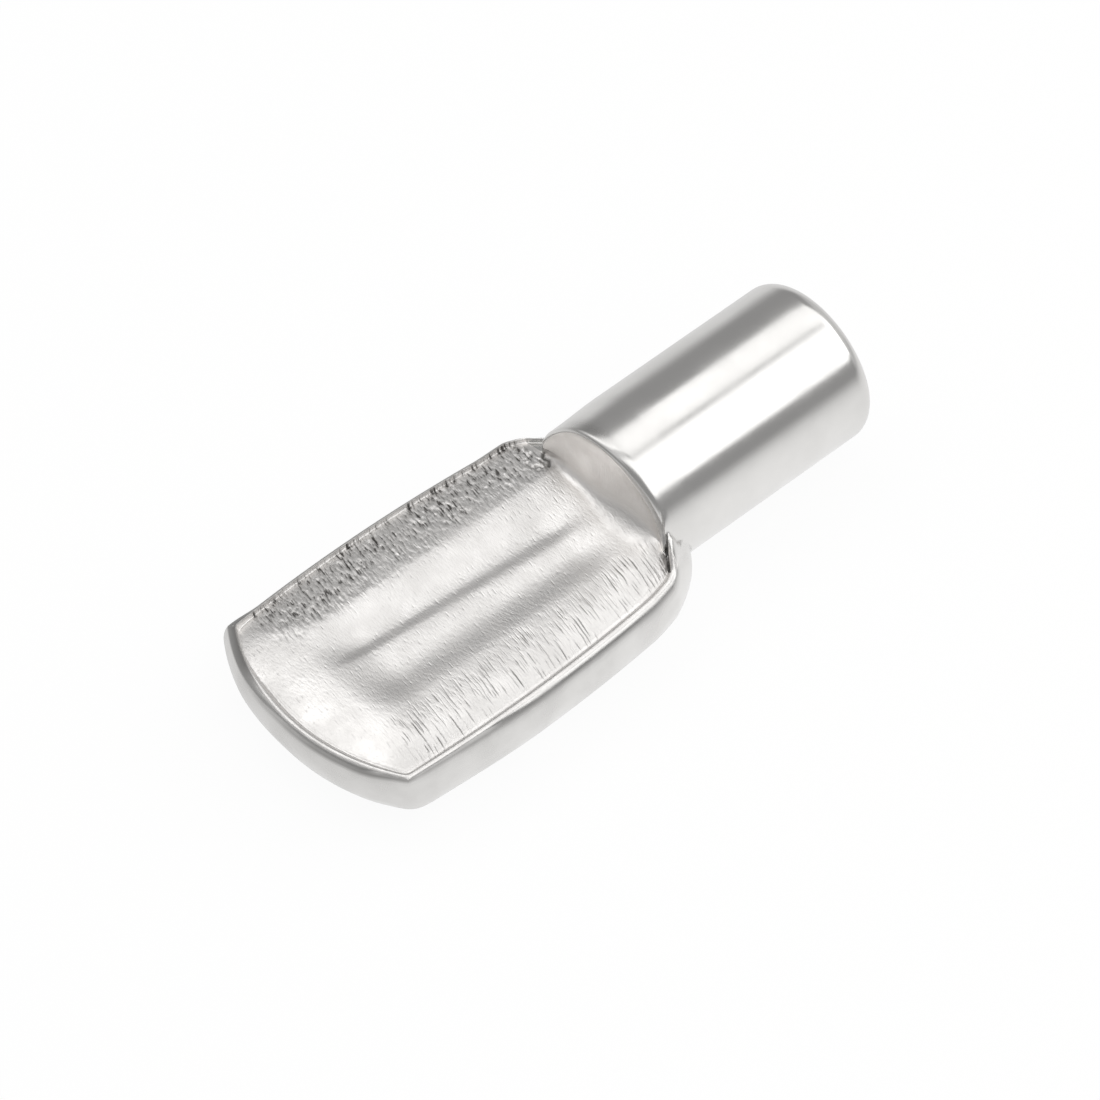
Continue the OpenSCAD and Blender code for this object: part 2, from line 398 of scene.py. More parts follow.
def swollenRadius(x):
    return pin["pegRadius"] + pin["rootSwell"] * np.clip(x / stepX, 0, 1)


def pegRadius(x):
    edge, end = pin["stepRound"], pin["endRound"]
    r = swollenRadius(x)
    head, tail = x - stepX, x - (pin["pegEnd"] - end)
    if head < edge:
        r -= edge - math.sqrt(edge ** 2 - (edge - head) ** 2)
    if tail > 0:
        r -= end - math.sqrt(max(end ** 2 - tail ** 2, 0))
    return r


def rootRadius(x):
    if x >= 0:
        return pegRadius(x)
    return swollenRadius(x) - pin["rootIn"] * (1 - smoothStep(*pin["rootSpan"], x))


def footPlace(x, side):  # foot of the peg beside the lip, or where the lip has run out into the peg
    r = pegRadius(max(x, stepX + pin["stepRound"]))
    z = rimZ + float(neckClimb(x, side))
    y = math.sqrt(r * r - z * z)
    half = float(rimHalf(x, side)) if x < shoulderX + pin["shoulderRadius"] else 0.0
    room = half - y
    if room < pin["leastRoom"]:
        return y, z, 0.0
    z = float(faceHeight(np.array([x]), np.array([side * r]), folded=False)[0])
    fillet = min(pin["footFillet"], pin["filletShare"] * room)
    return math.sqrt(r * r - (z + fillet) ** 2), z + fillet, fillet


def rimAngle(x, side):
    y, z, fillet = footPlace(max(x, stepX), side)
    if fillet > 0:
        y, z = float(rimHalf(x, side)), rimZ + float(neckClimb(x, side))
    return -math.atan2(z - centreZ, y)


def lowerRing(x, shares):  # section from the left rim, under the pin, to the right rim
    left, right = rimAngle(x, 1), rimAngle(x, -1)
    ang = left + shares * (math.pi - left - right)
    onLeft = ang <= math.pi / 2
    pad = np.where(onLeft, wallRadius(x, ang, 1), wallRadius(x, math.pi - ang, -1))
    core = roundRadius(rootRadius(x), ang)
    r = softMax(pad, core, pin["neckSoft"])
    return r * np.cos(ang), centreZ - r * np.sin(ang), core > pad


def pegArc(x, feet, shares):  # points over the peg from its right foot to its left
    ang, off = np.zeros_like(shares), np.zeros_like(shares)
    for side, (y, z) in feet.items():
        foot = math.atan2(centreZ - z, y)
        here = shares * side >= 0
        ang[here] = -math.pi / 2 + shares[here] * (foot + math.pi / 2)
        off[here] = math.hypot(y, z - centreZ) - roundRadius(pegRadius(x), foot)
    r = roundRadius(pegRadius(x), ang) + off * smoothStep(*pin["footShares"], np.abs(shares))
    # the right of the step's edge is rounded off, and the root is slimmer at the left
    free = 1 - smoothStep(*pin["freeShares"], np.abs(shares))
    dip = max(1 - (x - stepX) / pin["dipLength"], 0) ** 2
    r -= pin["edgeDip"] * dip * free * smoothStep(*pin["dipShares"], -shares)
    root = 1 - smoothStep(stepX, pin["taperEnd"], x)
    r -= pin["leftTaper"] * root * smoothStep(*pin["taperShares"], shares) * free
    return r * np.cos(ang), centreZ - r * np.sin(ang)


def edgeLeanAt(x, y, shares):  # the step's edge leans towards the tip at its left end
    lean = pin["edgeLean"][0] + pin["edgeLean"][1] * y
    nearStep = 1 - smoothStep(stepX, pin["edgeLeanEnd"], x)
    return lean * nearStep * (1 - smoothStep(*pin["edgeShares"], np.abs(shares)))


def lipStrip(x, y, fillet, shares, side):  # points over the lip from the peg's foot out to the rim
    out = float(rimHalf(x, side)) - y
    py = side * (y + shares * out)
    t = np.clip(fillet - shares * out, 0, None)
    pz = faceHeight(np.full_like(py, x), py) + fillet - np.sqrt(np.maximum(fillet ** 2 - t * t, 0))
    return py, np.where(shares >= 1, rimZ + float(neckClimb(x, side)), pz)


def pegStations():  # places along of the peg's rings
    edge = stepX + pin["stepRound"] * (1 - np.cos(np.linspace(0, np.pi / 2, fine["edgeRings"])))
    tail = pin["pegEnd"] - pin["endRound"] * (1 - np.sin(np.linspace(0, np.pi / 2, fine["endRings"])))
    start, end = fine["shoulderEnd"]
    root = np.arange(edge[-1] + fine["rootPitch"], start, fine["rootPitch"])
    shoulder = np.linspace(start, end, fine["shoulderRings"])
    return np.concatenate([edge, root, shoulder, np.linspace(end, tail[0], fine["pegRings"])[1:-1], tail])


def buildPin():
    along, grid, fx, fy = pressFace()
    nCols = fine["columns"]
    neck = int(np.searchsorted(along, pin["neckFrom"]))
    walls = rollWalls(grid, neck)

    # flat underside, and the neck's sections from it to the round peg
    leftWall, rightWall = walls[-1, 1:], walls[0, 1:]
    pts = allPoints()
    ends = pts[leftWall[-1], 1], pts[rightWall[-1], 1]
    under = addPoints(along[neck], np.linspace(*ends, fine["underSteps"] + 1)[1:-1], -pin["thickness"])
    blank["faces"].append([int(v) for v in np.concatenate([walls[:, -1], under])])
    blank["zones"].append(wallZone)
    lower = np.concatenate([leftWall, under, rightWall[::-1]])
    pts = allPoints()[lower]
    left, right = rimAngle(along[neck], 1), rimAngle(along[neck], -1)
    turned = np.unwrap(np.arctan2(centreZ - pts[:, 2], pts[:, 1]))
    shares = (turned - left) / (math.pi - left - right)
    rings = [np.concatenate([[grid[neck, -1]], lower, [grid[neck, 0]]])]
    for i in range(neck + 1, fine["rows"] + 1):
        y, z, _ = lowerRing(along[i], shares)
        rings.append(np.concatenate([[grid[i, -1]], addPoints(along[i], y, z), [grid[i, 0]]]))
    addQuads(np.array(rings), wallZone)

    # peg from the step to its free end, with the shoulders running out beside it
    lastY, lastZ = fy[-1], faceHeight(fx[-1], fy[-1], folded=False)
    footR, footL = np.flatnonzero(np.abs(lastY) < pin["footY"])[[0, -1]]
    onPeg = slice(footR, footL + 1)
    lipCols = {-1: slice(0, footR), 1: slice(footL + 1, nCols + 1)}
    lipFoot = {-1: footR, 1: footL}
    up = np.arctan2(centreZ - lastZ, lastY)[onPeg] + math.pi / 2
    # shares are 0 straight up, 1 at the left foot and -1 at the right
    upShares = np.where(up > 0, up / up[-1], -up / up[0])
    lipShares = {}
    for side, cols in lipCols.items():
        inner, outer = abs(lastY[lipFoot[side]]), np.abs(lastY[cols]).max()
        lipShares[side] = (np.abs(lastY[cols]) - inner) / (outer - inner)
    ringsUp, zonesUp = [], []
    for n, x in enumerate(pegStations()):
        ring = np.zeros(nCols + 1, int)
        zone = np.full(nCols + 1, wallZone)
        zone[onPeg] = pegZone
        if n == 0:
            feet = {side: (abs(lastY[k]), lastZ[k]) for side, k in lipFoot.items()}
            y, z = pegArc(x, feet, upShares)
            ring[:] = grid[-1]
            ring[footR + 1:footL] = addPoints(x + edgeLeanAt(x, y, upShares)[1:-1], y[1:-1], z[1:-1])
            ring = np.concatenate([ring, rings[-1][1:-1]])
            zone = np.concatenate([zone, np.full(len(shares), wallZone)])
        else:
            places = {side: footPlace(x, side) for side in (-1, 1)}
            y, z = pegArc(x, {side: p[:2] for side, p in places.items()}, upShares)
            ring[onPeg] = addPoints(x + edgeLeanAt(x, y, upShares), y, z)
            for side, cols in lipCols.items():
                footY, _, fillet = places[side]
                if fillet > 0:
                    ly, lz = lipStrip(x, footY, fillet, lipShares[side], side)
                    ring[cols] = addPoints(x, ly, lz)
                else:
                    ring[cols] = ring[lipFoot[side]]
                    zone[cols] = pegZone
            y, z, lowPeg = lowerRing(x, shares)
            ring = np.concatenate([ring, addPoints(x, y, z)])
            zone = np.concatenate([zone, np.where(lowPeg, pegZone, wallZone)])
        ringsUp.append(ring)
        zonesUp.append(zone)
    addQuads(np.array(ringsUp), np.array(zonesUp)[1:], closed=True)

    # upright step, scooped a little between its foot and its upper edge
    pts = allPoints()
    low, high = pts[grid[-1]], pts[ringsUp[0][:nCols + 1]]
    same = grid[-1] == ringsUp[0][:nCols + 1]
    middle = 1 - np.clip(np.abs(low[:, 1]) / pin["footY"], 0, 1) ** 2
    step = [grid[-1]]
    for k in range(1, fine["stepRows"]):
        share = k / fine["stepRows"]
        p = low + (high - low) * share
        scoop = pin["stepScoop"] * math.sin(math.pi * share) * middle
        step.append(np.where(same, grid[-1], addPoints(p[:, 0] + scoop, p[:, 1], p[:, 2])))
    step.append(ringsUp[0][:nCols + 1])
    addQuads(np.array(step), stepZone)

    # free end, ring by ring to its middle
    edge = ringsUp[-1][ringsUp[-1] != np.roll(ringsUp[-1], 1)]
    pts = allPoints()[edge]
    middle = np.array([pts[:, 0].mean(), 0, 0])
    cap = [edge]
    for share in fine["endShares"]:
        p = middle + (pts - middle) * share
        cap.append(addPoints(p[:, 0], p[:, 1], p[:, 2]))
    cap.append(np.full_like(cap[-1], addPoints(*middle)[0]))
    addQuads(np.array(cap), endZone, closed=True)
    return grid, fx, fy


# painted shade along the rim as a dark line: on the lip at the left, below it at the tip and the right
rimShade = {
    "left": 0.65, "leftSpan": (1.0, 2.5), "leftReach": (0.03, 0.09), "leftDrop": 0.07,
    "below": 0.35, "at": 0.17, "spread": 0.1, "insetEnd": 0.16, "ends": (-2.0, -1.4),
    "tip": 0.3, "tipAlong": (-11.2, -11.7), "tipAcross": (1.0, -1.5),
    "corner": 0.6, "cornerReach": 0.22, "cornerOut": 0.06,
}


def rimPaintedShade(x, y, z):
    inset = rimInset(x, y)
    atLeft = smoothStep(*rimShade["leftSpan"], y)
    onLip = np.exp(-(np.minimum(z - rimZ, 0) / rimShade["leftDrop"]) ** 2)
    left = rimShade["left"] * atLeft * (1 - smoothStep(*rimShade["leftReach"], inset)) * onLip
    atTip = smoothStep(*rimShade["tipAlong"], x) * smoothStep(*rimShade["tipAcross"], y)
    below = np.exp(-((z + rimShade["at"]) / rimShade["spread"]) ** 2) * (inset < rimShade["insetEnd"])
    out = rimShade["cornerOut"]
    away = np.hypot(x - cornerX + out, y + cornerY + out) / rimShade["cornerReach"]
    corner = rimShade["corner"] * np.exp(-away ** 2)
    outer = np.maximum(rimShade["below"] + rimShade["tip"] * atTip, corner) * below * (1 - atLeft)
    return np.maximum(left, outer) * (1 - smoothStep(*rimShade["ends"], x))


# painted shade as a soft dark patch on the upper left of the peg, next to the step's edge; turn is up from
# +Y in radians
pegShade = {"dark": 0.38, "x": -1.32, "length": 0.3, "turn": 1.4, "width": 0.45, "fromAxis": (2.3, 2.4)}


def pegPaintedShade(x, y, z):
    along = (x - pegShade["x"]) / pegShade["length"]
    turn = (np.arctan2(z, y) - pegShade["turn"]) / pegShade["width"]
    onPeg = smoothStep(*pegShade["fromAxis"], np.hypot(y, z))
    return pegShade["dark"] * np.exp(-along ** 2 - turn ** 2) * onPeg * (z > 0)


# where the press marked the face, right and left: how far in from the rim it starts, and over what width
pressMask = {"start": (0.20, 0.03), "width": (0.24, 0.06), "stepEnd": (-0.3, -0.08)}
footSpan = (-0.16, 0.02)  # where the step's paler tint, partly painted light, runs out on to the face
foldHeights = (-0.6, 0.5)


def addObject(name, data):
    obj = bpy.data.objects.new(name, data)
    scene.collection.objects.link(obj)
    return obj


def pinBlank():
    grid, fx, fy = buildPin()
    pts = allPoints()
    x, y, z = pts.T
    pressed, foot = np.zeros(len(pts)), np.zeros(len(pts))
    start, width = (np.where(fy > 0, *pressMask[name][::-1]) for name in ("start", "width"))
    fromStep = fx - stepX - stepLean(fy)
    inside = smoothStep(0, 1, (rimInset(fx, fy) - start) / width)
    pressed[grid] = inside * (1 - smoothStep(*pressMask["stepEnd"], fromStep))
    foot[grid] = smoothStep(*footSpan, fromStep)
    # painted shade of the folds, the rim and a patch on the peg, kept as a point attribute
    foldAndShade = foldShadeAndDepth(x, y)[0] * ((z > foldHeights[0]) & (z < foldHeights[1]))
    foldAndShade = np.maximum(foldAndShade, np.maximum(rimPaintedShade(x, y, z), pegPaintedShade(x, y, z)))
    mesh = bpy.data.meshes.new("pinBlank")
    mesh.from_pydata((pts * mm).tolist(), [], blank["faces"])
    mesh.attributes.new("zone", "INT", "FACE").data.foreach_set("value", np.array(blank["zones"], np.int32))
    for name, values in (("pressed", pressed), ("foot", foot), ("foldAndShade", foldAndShade)):
        mesh.attributes.new(name, "FLOAT", "POINT").data.foreach_set("value", values.astype(np.float32))
    bm = bmesh.new()
    bm.from_mesh(mesh)
    bmesh.ops.delete(bm, geom=[v for v in bm.verts if not v.link_faces], context="VERTS")
    bmesh.ops.recalc_face_normals(bm, faces=bm.faces)
    for f in bm.faces:
        f.smooth = True
    bm.to_mesh(mesh)
    bm.free()
    return addObject("pinBlank", mesh)


body = pinBlank()
print("pin blank:", len(body.data.vertices), "points,", len(body.data.polygons), "faces")


# node helpers: a node with its values or links, arithmetic, and the few nodes that come often
def addNode(tree, kind, values=(), **settings):
    node = tree.nodes.new(kind)
    for key, value in settings.items():
        setattr(node, key, value)
    for key, value in dict(values).items():
        if isinstance(value, bpy.types.NodeSocket):
            tree.links.new(value, node.inputs[key])
        else:
            node.inputs[key].default_value = value
    return node


def calc(tree, operation, *values):
    return addNode(tree, "ShaderNodeMath", enumerate(values), operation=operation).outputs[0]


def product(tree, *values):
    return reduce(lambda a, b: calc(tree, "MULTIPLY", a, b), values)


def total(tree, *values):
    return reduce(lambda a, b: calc(tree, "ADD", a, b), values)


def scaled(tree, value, factor, offset):
    return calc(tree, "MULTIPLY_ADD", value, factor, offset)


def vectorMath(tree, operation, *values):
    return addNode(tree, "ShaderNodeVectorMath", enumerate(values), operation=operation)


def inMillimetres(tree, place):
    return vectorMath(tree, "MULTIPLY", place, (1 / mm,) * 3).outputs[0]


def objectPlace(tree):
    return inMillimetres(tree, addNode(tree, "ShaderNodeTexCoord").outputs["Object"])


def attributeValue(tree, name):
    return addNode(tree, "ShaderNodeAttribute", attribute_name=name).outputs["Fac"]


def joined(tree, x, y, z):
    return addNode(tree, "ShaderNodeCombineXYZ", {"X": x, "Y": y, "Z": z}).outputs[0]


def parted(tree, vector):
    return addNode(tree, "ShaderNodeSeparateXYZ", {0: vector}).outputs


def noise(tree, place, scale, detail, roughness=0.5):
    return addNode(tree, "ShaderNodeTexNoise", {
        "Vector": place, "Scale": scale, "Detail": detail, "Roughness": roughness,
    }).outputs["Fac"]


def mixValue(tree, share, a, b):
    node = addNode(tree, "ShaderNodeMix", {"Factor": share, "A": a, "B": b}, data_type="FLOAT")
    return node.outputs["Result"]


def mixColour(tree, share, a, b):  # a colour's sockets are known by number, because they share their names
    return addNode(tree, "ShaderNodeMix", {"Factor": share, 6: a, 7: b}, data_type="RGBA").outputs[2]


def ramp(tree, value, low, high, toLow=0.0, toHigh=1.0):
    return addNode(tree, "ShaderNodeMapRange", {
        "Value": value, "From Min": low, "From Max": high, "To Min": toLow, "To Max": toHigh,
    }, interpolation_type="SMOOTHSTEP").outputs["Result"]


def openGroup(name, kind, inputs, outputs):
    tree = bpy.data.node_groups.new(name, kind)
    for sockets, way in ((inputs, "INPUT"), (outputs, "OUTPUT")):
        for label, (socketType, value) in sockets.items():
            socket = tree.interface.new_socket(label, in_out=way, socket_type=socketType)
            if value is not None:
                socket.default_value = value
    return tree, addNode(tree, "NodeGroupInput").outputs, addNode(tree, "NodeGroupOutput").inputs


def numbers(values):
    return {name: ("NodeSocketFloat", value) for name, value in values.items()}


# finish of each kind of surface: grain sizes and depths in mm
finish = {
    "pressedNickel": {"rough": (0.34, 0.42), "tint": (0.77, 0.755, 0.74), "worn": (0.70, 0.685, 0.67),
                      "grain": (15.0, 5.0, 12.0), "grainDepth": 0.013, "cloud": 0.8, "markDepth": 0.018},
    "polishedNickel": {"rough": (0.17, 0.23), "tint": (0.80, 0.79, 0.775), "worn": (0.76, 0.75, 0.735),
                       "grain": (1.5, 16.0, 16.0), "grainDepth": 0.0006, "cloud": 0.5},
    "rolledNickel": {"rough": (0.20, 0.28), "tint": (0.79, 0.78, 0.765), "worn": (0.73, 0.72, 0.705),
                     "grain": (5.0, 5.0, 9.0), "grainDepth": 0.003, "cloud": 0.7},
    # the sheared metal's tint is its own paler tone, raised further as painted light on the step's wall
    "shearedNickel": {"rough": (0.36, 0.46), "tint": (0.99, 0.965, 0.94), "worn": (0.92, 0.89, 0.865),
                      "grain": (14.0, 14.0, 2.5), "grainDepth": 0.02, "cloud": 1.2},
}
# detail and roughness of the plating's grain and of its clouding
plating = {"grainDetail": (3.0, 0.65), "cloudDetail": (4.0, 0.6), "cloudSpan": (0.3, 0.7)}
# colour and added roughness of the painted shade in the marks, folds, rim and peg patch
paintedShade = {"colour": (0.10, 0.095, 0.09, 1), "rough": 0.2}


def makeMetalGrain():  # fine grain and slow clouding of the plating, shared by all four finishes
    look = finish["pressedNickel"]
    inputs = {"Grain": ("NodeSocketVector", look["grain"]), **numbers({"Cloud": look["cloud"]})}
    outputs = numbers({"Height": None, "Cloud": None})
    tree, given, out = openGroup("metalGrain", "ShaderNodeTree", inputs, outputs)
    place = objectPlace(tree)
    stretched = vectorMath(tree, "MULTIPLY", place, given["Grain"]).outputs[0]
    cloud = noise(tree, place, given["Cloud"], *plating["cloudDetail"])
    tree.links.new(noise(tree, stretched, 1.0, *plating["grainDetail"]), out["Height"])
    tree.links.new(ramp(tree, cloud, *plating["cloudSpan"]), out["Cloud"])
    return tree


metalGrain = makeMetalGrain()


# strokes and nicks that the press left in the face, sizes in mm; slant is the lean along per mm across
strokes = {
    "long": {"Slant": 0.17, "Gap": 0.125, "Width": 0.023, "Length": 1.7,
             "Fill": 0.95, "Wander": 0.18, "Seed": 7.0},
    "short": {"Slant": 0.12, "Gap": 0.10, "Width": 0.020, "Length": 0.75,
              "Fill": 0.85, "Wander": 0.14, "Seed": 48.0},
    "nick": {"Slant": 0.20, "Gap": 0.13, "Width": 0.034, "Length": 0.5,
             "Fill": 0.85, "Wander": 0.12, "Seed": 10.1},
    "fleck": {"Slant": 0.15, "Gap": 0.15, "Width": 0.030, "Length": 0.5,
              "Fill": 0.60, "Wander": 0.10, "Seed": 84.0},
}
# what is drawn for each stroke, as range and start: its place in the gap, its length and its force
draws = {
    "place": (0.4, 0.3), "length": (0.6, 0.4), "force": (0.85, 0.15), "forcePower": 1.6, "forceStep": 13.7,
    "shift": 7.0, "seedStep": 17.3, "taper": 0.2, "wander": (0.9, 2.0),
}
# the flanks that carry them, as places across, and the stretch near the tip where they are coarser
flank = {
    "left": (1.55, 2.9), "right": (-1.65, -2.15), "tip": (-11.5, -10.5), "coarse": (-9.4, -10.8),
    "coarser": 0.6, "shortShare": 0.6,
    "patch": (0.9, 2.0), "patchSpan": (0.35, 0.65), "patchForce": (0.6, 1.3),
}
wrinkle = {"slant": 0.20, "gap": 0.09, "length": 0.42, "detail": (3.0, 0.6), "seed": 7.0}


def makeStrokeLayer(kind):  # strokes across the face, one to a cell, each with its own place and length
    inputs = numbers(dict(strokes["long"], Along=0.0, Across=0.0))
    tree, given, out = openGroup("strokeLayer", kind, inputs, numbers({"Mark": None}))
    drift = noise(tree, joined(tree, given["Along"], given["Across"], given["Seed"]), *draws["wander"])
    wander = product(tree, calc(tree, "SUBTRACT", drift, 0.5), given["Wander"])
    skew = calc(tree, "SUBTRACT", given["Along"], product(tree, given["Slant"], given["Across"]))
    s = calc(tree, "DIVIDE", total(tree, skew, wander), given["Gap"])
    cell = calc(tree, "FLOOR", s)
    key = joined(tree, cell, 0.5, given["Seed"])
    shift = addNode(tree, "ShaderNodeTexWhiteNoise", {"Vector": key}).outputs["Value"]
    u = scaled(tree, shift, draws["shift"], calc(tree, "DIVIDE", given["Across"], given["Length"]))
    band = calc(tree, "FLOOR", u)
    key = joined(tree, cell, band, total(tree, given["Seed"], draws["seedStep"]))
    a, b, c = parted(tree, addNode(tree, "ShaderNodeTexWhiteNoise", {"Vector": key}).outputs["Color"])
    off = calc(tree, "SUBTRACT", calc(tree, "SUBTRACT", s, cell), scaled(tree, a, *draws["place"]))
    d = calc(tree, "DIVIDE", product(tree, off, given["Gap"]), given["Width"])
    groove = calc(tree, "EXPONENT", product(tree, d, d, -1.0))
    length = product(tree, given["Fill"], scaled(tree, b, *draws["length"]))
    start = product(tree, c, calc(tree, "SUBTRACT", 1.0, length))
    end = total(tree, start, length)
    place = calc(tree, "SUBTRACT", u, band)
    opens = ramp(tree, place, start, total(tree, start, draws["taper"]))
    closes = ramp(tree, place, end, calc(tree, "SUBTRACT", end, draws["taper"]))
    force = calc(tree, "FRACT", product(tree, a, draws["forceStep"]))
    force = scaled(tree, calc(tree, "POWER", force, draws["forcePower"]), *draws["force"])
    tree.links.new(product(tree, product(tree, groove, force), product(tree, opens, closes)), out["Mark"])
    return tree


def layMarks(tree, place, thin):  # strokes of both flanks and wrinkles of the left one, at a place in mm
    layer = makeStrokeLayer(tree.bl_idname)
    kind = "GeometryNodeGroup" if tree.type == "GEOMETRY" else "ShaderNodeGroup"
    along, across, _ = parted(tree, place)
    laid = {}
    for name, values in strokes.items():
        values = dict(values, Along=along, Across=across, Width=values["Width"] * thin)
        laid[name] = addNode(tree, kind, values, node_tree=layer).outputs["Mark"]
    clear = ramp(tree, along, *flank["tip"])
    left, right = (product(tree, ramp(tree, across, *flank[name]), clear) for name in ("left", "right"))
    coarse = scaled(tree, ramp(tree, along, *flank["coarse"]), flank["coarser"], 1.0)
    patch = ramp(tree, noise(tree, place, *flank["patch"]), *flank["patchSpan"], *flank["patchForce"])
    both = scaled(tree, laid["short"], flank["shortShare"], laid["long"])
    laid["right"] = product(tree, both, right, coarse)
    laid["left"] = product(tree, laid["nick"], left, patch)
    skew = calc(tree, "SUBTRACT", along, product(tree, across, wrinkle["slant"]))
    flow = joined(tree, calc(tree, "DIVIDE", skew, wrinkle["gap"]),
                  calc(tree, "DIVIDE", across, wrinkle["length"]), wrinkle["seed"])
    wave = scaled(tree, noise(tree, flow, 1.0, *wrinkle["detail"]), 2.0, -1.0)
    laid["wrinkle"] = product(tree, wave, left, patch)
    return laid


# painted shade of the marks: how dark they are, how narrow their dark lines, and how dark the low wrinkles
# are
shade = {"thin": 0.6, "right": 0.5, "left": 1.6, "fleck": 0.06, "lowSpan": (-0.04, -0.3), "low": 0.95,
         "fleckRelief": -0.4}


def makePressShade():  # the marks as fine dark lines of painted shade, and fine relief
    outputs = numbers({"Mark": None, "Height": None})
    tree, given, out = openGroup("pressShade", "ShaderNodeTree", numbers({"Pressed": 1.0}), outputs)
    laid = layMarks(tree, objectPlace(tree), shade["thin"])
    mark = total(tree, *(product(tree, laid[name], shade[name]) for name in ("right", "left", "fleck")))
    low = ramp(tree, laid["wrinkle"], *shade["lowSpan"], 0.0, shade["low"])
    tree.links.new(product(tree, total(tree, mark, low), given["Pressed"]), out["Mark"])
    height = total(tree, laid["wrinkle"], product(tree, laid["right"], -1.0),
                   product(tree, laid["fleck"], shade["fleckRelief"]))
    tree.links.new(product(tree, height, given["Pressed"]), out["Height"])
    return tree


pressShade = makePressShade()


def makeFinish(name):
    look = finish[name]
    mat = bpy.data.materials.new(name)
    mat.use_nodes = True
    tree = mat.node_tree
    shader = tree.nodes["Principled BSDF"]
    shader.inputs["Metallic"].default_value = 1.0
    values = {"Grain": look["grain"], "Cloud": look["cloud"]}
    grain = addNode(tree, "ShaderNodeGroup", values, node_tree=metalGrain)
    tint = mixColour(tree, grain.outputs["Cloud"], (*look["worn"], 1), (*look["tint"], 1))
    rough = ramp(tree, grain.outputs["Cloud"], 0, 1, look["rough"][1], look["rough"][0])
    bump = addNode(tree, "ShaderNodeBump", {
        "Strength": 1.0, "Distance": look["grainDepth"] * mm, "Height": grain.outputs["Height"],
    })
    # painted shade: the marks darken the base colour towards the shade colour and roughen it
    dark = attributeValue(tree, "marks")
    if "markDepth" in look:
        # the step's paler tint, partly painted light, spreads on to the face at its foot
        tint = mixColour(tree, attributeValue(tree, "foot"), tint, (*finish["shearedNickel"]["tint"], 1))
        pressed = attributeValue(tree, "pressed")
        lines = addNode(tree, "ShaderNodeGroup", {"Pressed": pressed}, node_tree=pressShade)
        dark = calc(tree, "MAXIMUM", dark, lines.outputs["Mark"])
        bump = addNode(tree, "ShaderNodeBump", {
            "Strength": 1.0, "Distance": look["markDepth"] * mm, "Height": lines.outputs["Height"],
            "Normal": bump.outputs["Normal"],
        })
    dark = calc(tree, "MINIMUM", dark, 1.0)
    tree.links.new(mixColour(tree, dark, tint, paintedShade["colour"]), shader.inputs["Base Color"])
    tree.links.new(scaled(tree, dark, paintedShade["rough"], rough), shader.inputs["Roughness"])
    tree.links.new(bump.outputs["Normal"], shader.inputs["Normal"])
    return mat


zoneFinish = {faceZone: "pressedNickel", pegZone: "polishedNickel", wallZone: "rolledNickel",
              endZone: "shearedNickel", stepZone: "shearedNickel"}
materials = {name: makeFinish(name) for name in finish}
print("finishes:", ", ".join(materials))

# relief of the marks in mm, and the crumpled metal at the left end of the step, with painted shade in its
# low parts
marks = {"Wrinkle Depth": 0.06, "Nick Depth": 0.03, "Stroke Depth": 0.014, "Fleck Depth": 0.002,
         "Crumple Depth": 0.06, "Crumple Reach": 0.5}
crumple = {"at": (-1.75, 2.35, 0.0), "fade": (1.3, 0.4), "noise": (5.5, 3.0, 0.6), "low": (0.58, 0.36),
           "dark": 0.55}


def makePressMarks():
    shapes = {"Geometry": ("NodeSocketGeometry", None)}
    tree, given, out = openGroup("pressMarks", "GeometryNodeTree", {**shapes, **numbers(marks)}, shapes)
    place = inMillimetres(tree, addNode(tree, "GeometryNodeInputPosition").outputs[0])
    laid = layMarks(tree, place, 1.0)

    def attribute(name, dataType="FLOAT"):
        node = addNode(tree, "GeometryNodeInputNamedAttribute", {"Name": name}, data_type=dataType)
        return node.outputs["Attribute"]

    away = vectorMath(tree, "DISTANCE", place, crumple["at"]).outputs["Value"]
    near = ramp(tree, calc(tree, "DIVIDE", away, given["Crumple Reach"]), *crumple["fade"])
    low = product(tree, ramp(tree, noise(tree, place, *crumple["noise"]), *crumple["low"]), near)
    depths = {"right": "Stroke Depth", "left": "Nick Depth", "fleck": "Fleck Depth"}
    depth = total(tree, *(product(tree, laid[name], given[depths[name]]) for name in depths),
                  product(tree, laid["wrinkle"], given["Wrinkle Depth"], -1.0),
                  product(tree, low, given["Crumple Depth"]))
    pressed = attribute("pressed")
    push = addNode(tree, "ShaderNodeVectorMath", {
        0: addNode(tree, "GeometryNodeInputNormal").outputs[0], "Scale": product(tree, depth, pressed, -mm),
    }, operation="SCALE").outputs[0]
    moved = addNode(tree, "GeometryNodeSetPosition", {"Geometry": given["Geometry"], "Offset": push})
    # painted shade in the crumple's low parts, with that of the folds, rim and peg, kept as the marks
    # attribute
    dark = calc(tree, "MAXIMUM", product(tree, low, pressed, crumple["dark"]), attribute("foldAndShade"))
    stored = addNode(tree, "GeometryNodeStoreNamedAttribute", {
        "Geometry": moved.outputs[0], "Name": "marks", "Value": dark,
    }, data_type="FLOAT", domain="POINT").outputs[0]
    shape = addNode(tree, "GeometryNodeRealizeInstances", {0: stored}).outputs[0]
    for zone, name in zoneFinish.items():
        values = {2: attribute("zone", "INT"), 3: zone}
        pick = addNode(tree, "FunctionNodeCompare", values, data_type="INT", operation="EQUAL")
        shape = addNode(tree, "GeometryNodeSetMaterial", {
            "Geometry": shape, "Selection": pick.outputs[0], "Material": materials[name],
        }).outputs[0]
    tree.links.new(shape, out["Geometry"])
    return tree


